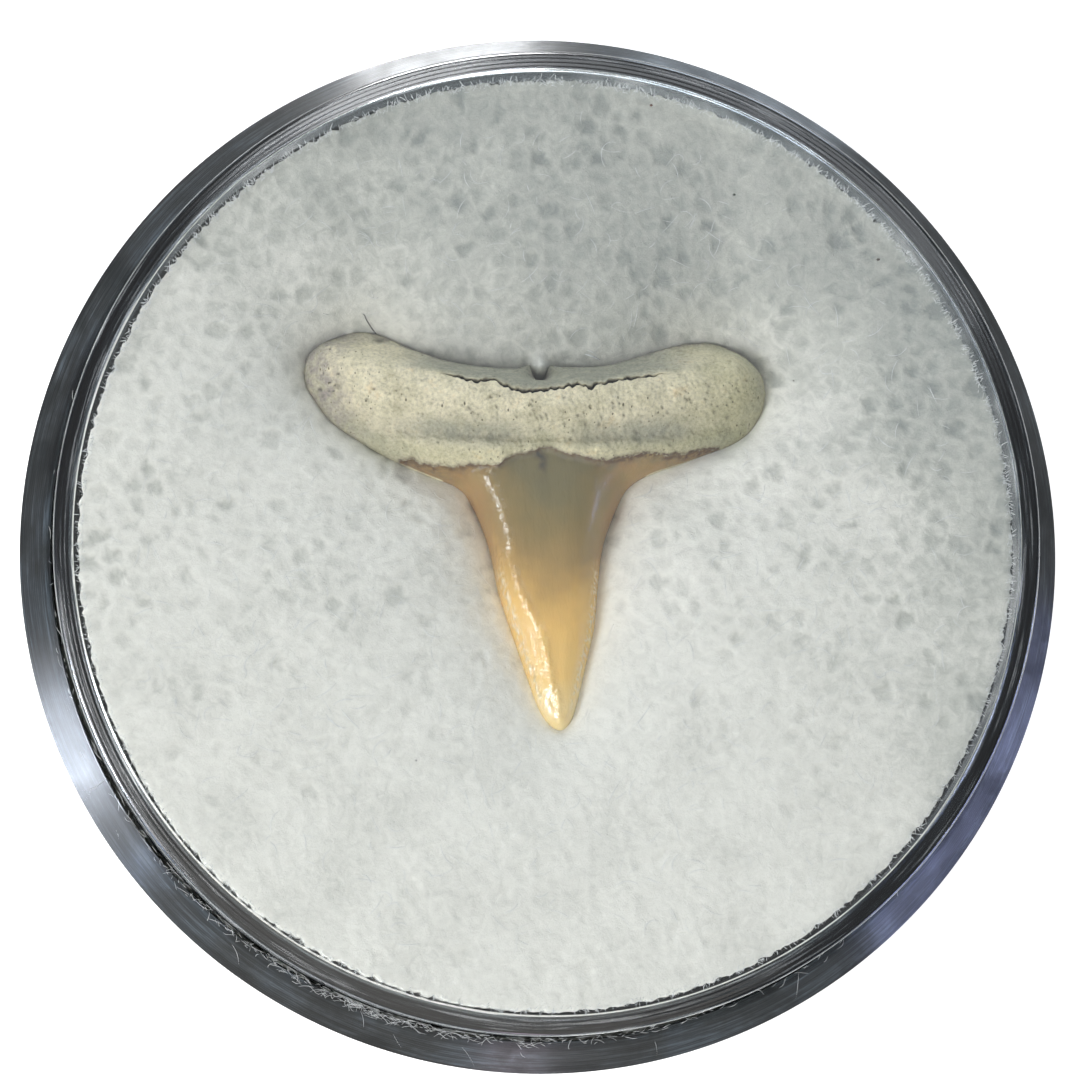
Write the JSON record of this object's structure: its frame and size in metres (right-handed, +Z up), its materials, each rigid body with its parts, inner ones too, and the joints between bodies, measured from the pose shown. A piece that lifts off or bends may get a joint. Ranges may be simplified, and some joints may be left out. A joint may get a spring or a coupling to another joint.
{
  "type": "fossil shark tooth in a display jar",
  "caption": "Fossil lemon shark tooth resting on a foam pad under the clear screw-on window lid of a small round black display jar.",
  "frame": {"origin": "middle of the jar's underside", "axes": "+Z up through the window of the lid, -Y the way the tooth's tip points, +X to the right of someone who looks down on the tooth with its tip towards them"},
  "size_m": [0.032, 0.032, 0.016],
  "materials": {
    "tooth": "mineralised dentine and enamel: porous matt cream root, glossy grey to orange-tan crown",
    "foam": "white open-cell foam with a fuzzy cut edge",
    "black_plastic": "moulded black plastic, glossy, with fine handling scratches",
    "clear_plastic": "clear moulded plastic, glossy, see-through"
  },
  "bodies": {
    "root": {"tooth": "tooth", "pad": "foam", "base": "black_plastic", "lid": "clear_plastic"}
  },
  "joints": []
}
